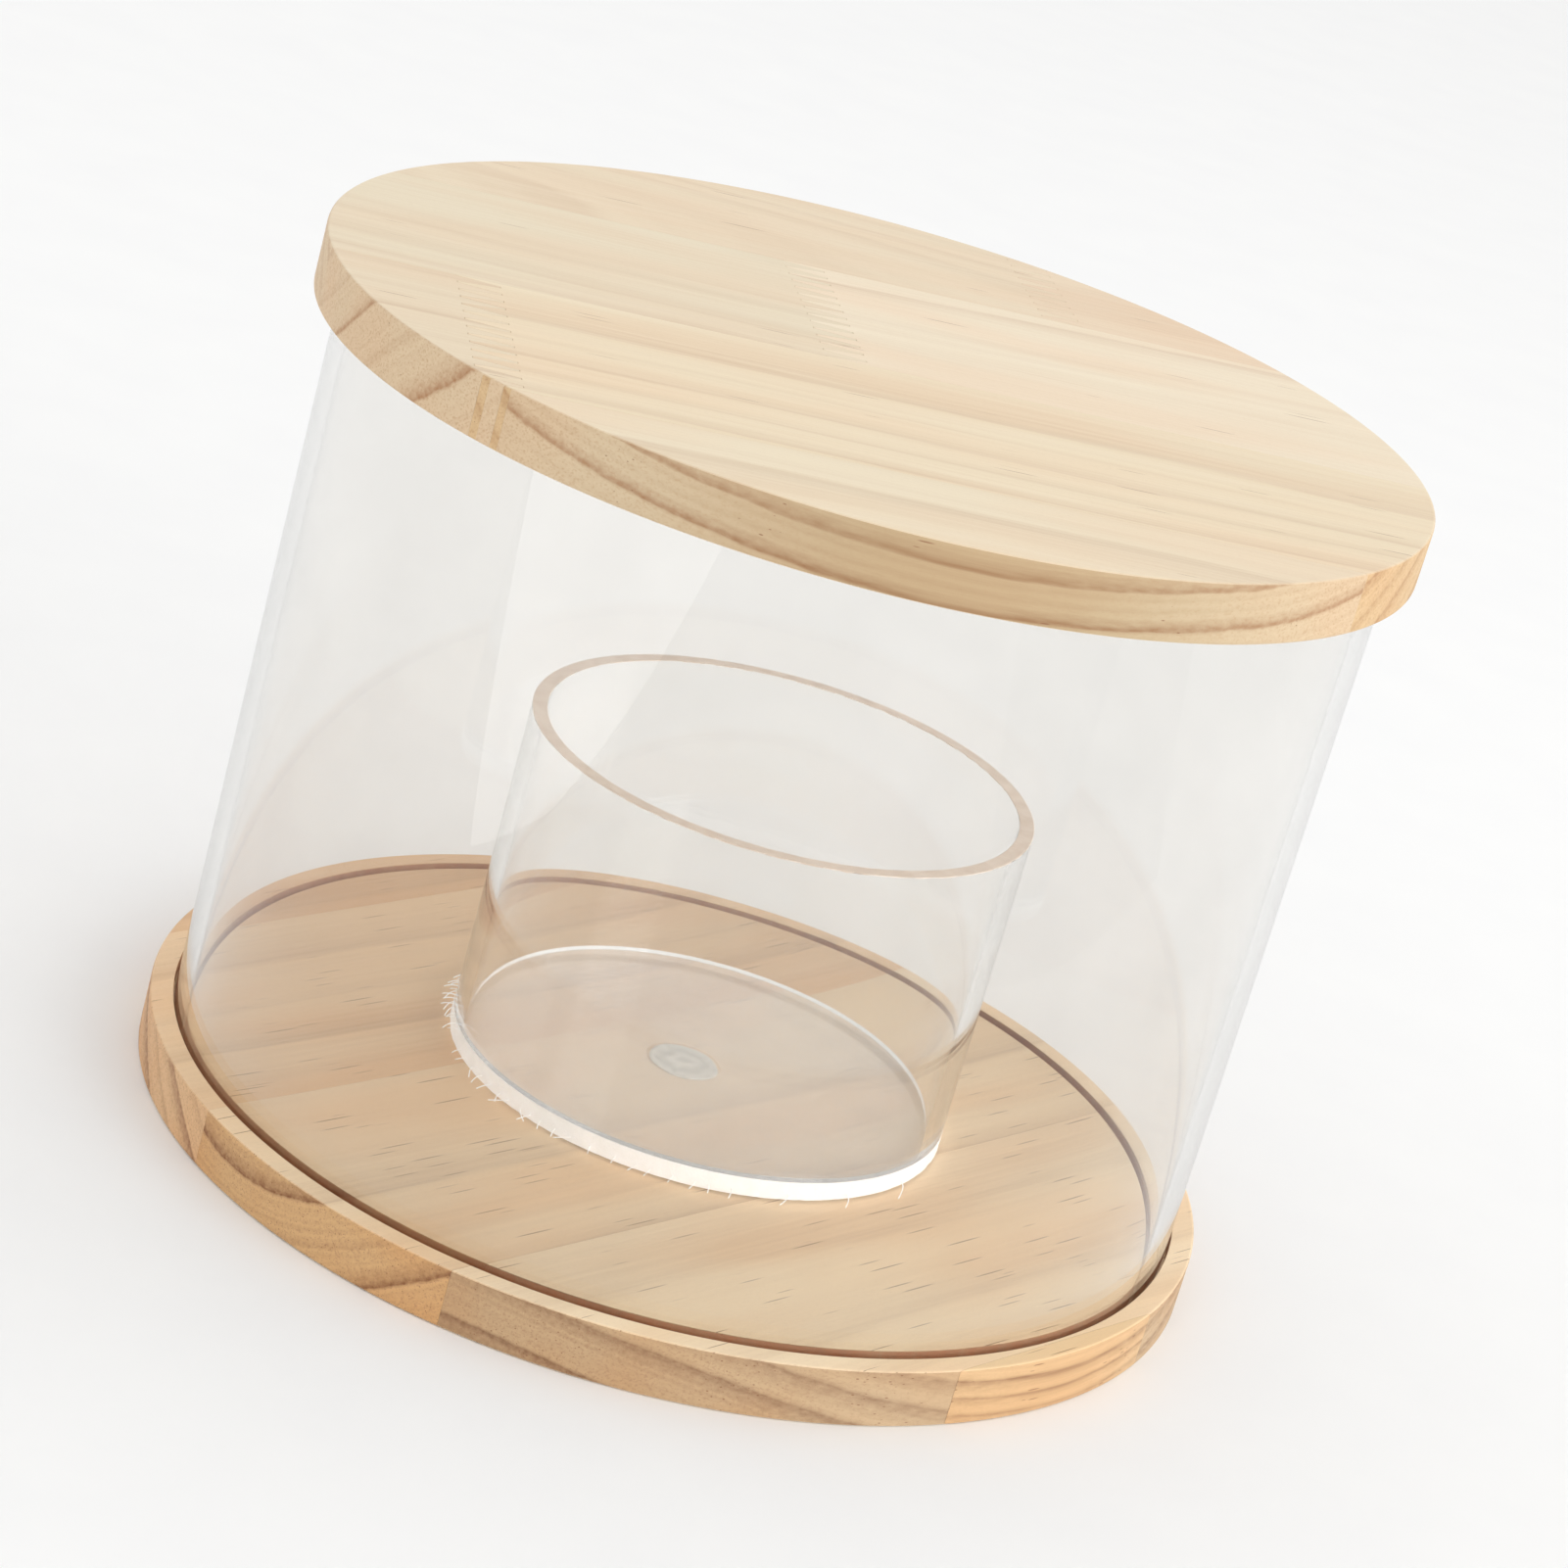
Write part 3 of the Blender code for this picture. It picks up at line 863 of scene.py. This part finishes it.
def add_card(name, corners, brightness):
    """A flat card just above the floor, outside the picture, that only shows as a reflection."""
    editor = bmesh.new()
    editor.faces.new([editor.verts.new((x, y, CARD_HEIGHT)) for x, y in corners])
    card = add_object(name, editor, [card_material(name + "_light", brightness)])
    card.visible_camera = False
    card.visible_diffuse = False
    card.visible_transmission = False
    card.visible_shadow = False


def make_stage():
    """Pale floor, pale surroundings, soft lights and the camera."""
    editor = bmesh.new()
    bmesh.ops.create_grid(editor, x_segments=8, y_segments=8, size=FLOOR_HALF_SIZE)
    floor = add_object("floor", editor, [paper("floor_paper")])
    floor.location.z = -FLOOR_DROP

    world = bpy.data.worlds.new("surroundings")
    world.use_nodes = True
    nodes = world.node_tree.nodes
    links = world.node_tree.links
    background = nodes["Background"]
    direction = nodes.new("ShaderNodeTexCoord").outputs["Generated"]
    height = nodes.new("ShaderNodeSeparateXYZ")
    links.new(direction, height.inputs[0])
    fade = nodes.new("ShaderNodeMapRange")
    links.new(height.outputs[2], fade.inputs["Value"])
    fade.inputs["From Min"].default_value = 0.1
    fade.inputs["From Max"].default_value = 0.9
    fade.inputs["To Min"].default_value = HORIZON_LIGHT
    fade.inputs["To Max"].default_value = ZENITH_LIGHT
    towards_side = nodes.new("ShaderNodeVectorMath")
    towards_side.operation = "DOT_PRODUCT"
    links.new(direction, towards_side.inputs[0])
    towards_side.inputs[1].default_value = SIDE_DIRECTION
    turn_fade = nodes.new("ShaderNodeMapRange")
    links.new(towards_side.outputs["Value"], turn_fade.inputs["Value"])
    turn_fade.inputs["From Min"].default_value = -1.0
    turn_fade.inputs["To Min"].default_value = SIDE_LIGHT[0]
    turn_fade.inputs["To Max"].default_value = SIDE_LIGHT[1]
    total = nodes.new("ShaderNodeMath")
    total.operation = "MULTIPLY"
    links.new(fade.outputs[0], total.inputs[0])
    links.new(turn_fade.outputs[0], total.inputs[1])
    links.new(total.outputs[0], background.inputs[1])
    background.inputs[0].default_value = (1.0, 1.0, 1.0, 1.0)
    bpy.context.scene.world = world
    bpy.context.scene.view_settings.view_transform = "Standard"
    # Looking into the cup crosses eight acrylic faces before the light is reached.
    bpy.context.scene.cycles.max_bounces = LIGHT_BOUNCES
    bpy.context.scene.cycles.transmission_bounces = LIGHT_BOUNCES

    for name, place, size, watts in SOFTBOXES:
        add_softbox(name, place, size, watts)
    for name, corners, brightness in CARDS:
        add_card(name, corners, brightness)

    camera_data = bpy.data.cameras.new("camera")
    camera_data.lens = CAMERA_LENS_MM
    camera_data.sensor_width = CAMERA_SENSOR_MM
    camera_data.sensor_fit = "HORIZONTAL"
    camera_data.clip_end = 50.0
    camera = bpy.data.objects.new("camera", camera_data)
    camera.location = CAMERA_PLACE
    camera.rotation_euler = [math.radians(angle) for angle in CAMERA_TURN_DEG]
    bpy.context.scene.collection.objects.link(camera)
    bpy.context.scene.camera = camera


# ---------------------------------------------------------------- build

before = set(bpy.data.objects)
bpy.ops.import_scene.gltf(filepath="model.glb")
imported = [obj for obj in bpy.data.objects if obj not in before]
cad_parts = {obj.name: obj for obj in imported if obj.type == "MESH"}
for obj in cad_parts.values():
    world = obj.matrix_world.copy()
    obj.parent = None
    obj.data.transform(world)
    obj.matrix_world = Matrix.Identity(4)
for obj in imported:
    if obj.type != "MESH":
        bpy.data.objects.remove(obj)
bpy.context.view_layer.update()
NODES = sorted(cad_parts)

make_stage()
for measures in (
    make_disc("base", BASE_GRAIN_DEG, BASE_LINES, BASE_WOOD, True),
    make_disc("lid", LID_GRAIN_DEG, LID_LINES, LID_WOOD, False),
):
    make_boards(measures)
    bpy.data.objects.remove(measures["blank"])

clear = acrylic("cover_clear", (246, 245, 243), (249, 248, 246))
cup_clear = acrylic("cup_clear", (253, 253, 252), (255, 255, 255))
# The cup's sawn rim is tinted tan: painted light, for the wood's light that the cup's wall carries up to its
# cut end.
rim = sawn_acrylic("cup_rim_sawn_painted_light", (243, 230, 218), (232, 216, 202), 0.4)
# The floor's sawn edge and its fibres get a painted glow.
sawn = sawn_acrylic("cup_floor_sawn_painted_glow", (255, 255, 255), (248, 248, 247), 0.7, painted_glow=PAINTED_EDGE_GLOW)
dot_low, dot_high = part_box("cup_gel_dot")
dot_centre = (dot_low + dot_high) / 2.0
dot_reach = (dot_high.x - dot_low.x) / 2.0
film = acrylic(
    "cup_floor_film",
    (254, 251, 247),
    (255, 254, 252),
    haze=(0.1, 0.25),
    transmission=0.86,
    clear_spot=(tuple(dot_centre), dot_reach),
)

tube = make_tube("cover_tube_clear", "cover_tube", TUBE_WALL, TUBE_EASING, [clear])
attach(tube, "cover")
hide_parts("cover_tube")
cup_walls = [cup_clear, rim]
cup = make_tube("cup_tube_clear", "cup_tube", CUP_WALL, CUP_EASING, cup_walls, CHIP_DEPTH, CUP_SEAT)
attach(cup, "cup")
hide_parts("cup_tube")
cup_floor = make_cup_floor([cup_clear, sawn, film])
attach(cup_floor, "cup")
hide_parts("cup_floor")
dot = make_dot(gel("gel_cloudy", tuple(dot_centre)))
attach(dot, "cup")
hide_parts("cup_gel_dot")
swarf = make_swarf(sawn)
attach(swarf, "cup")
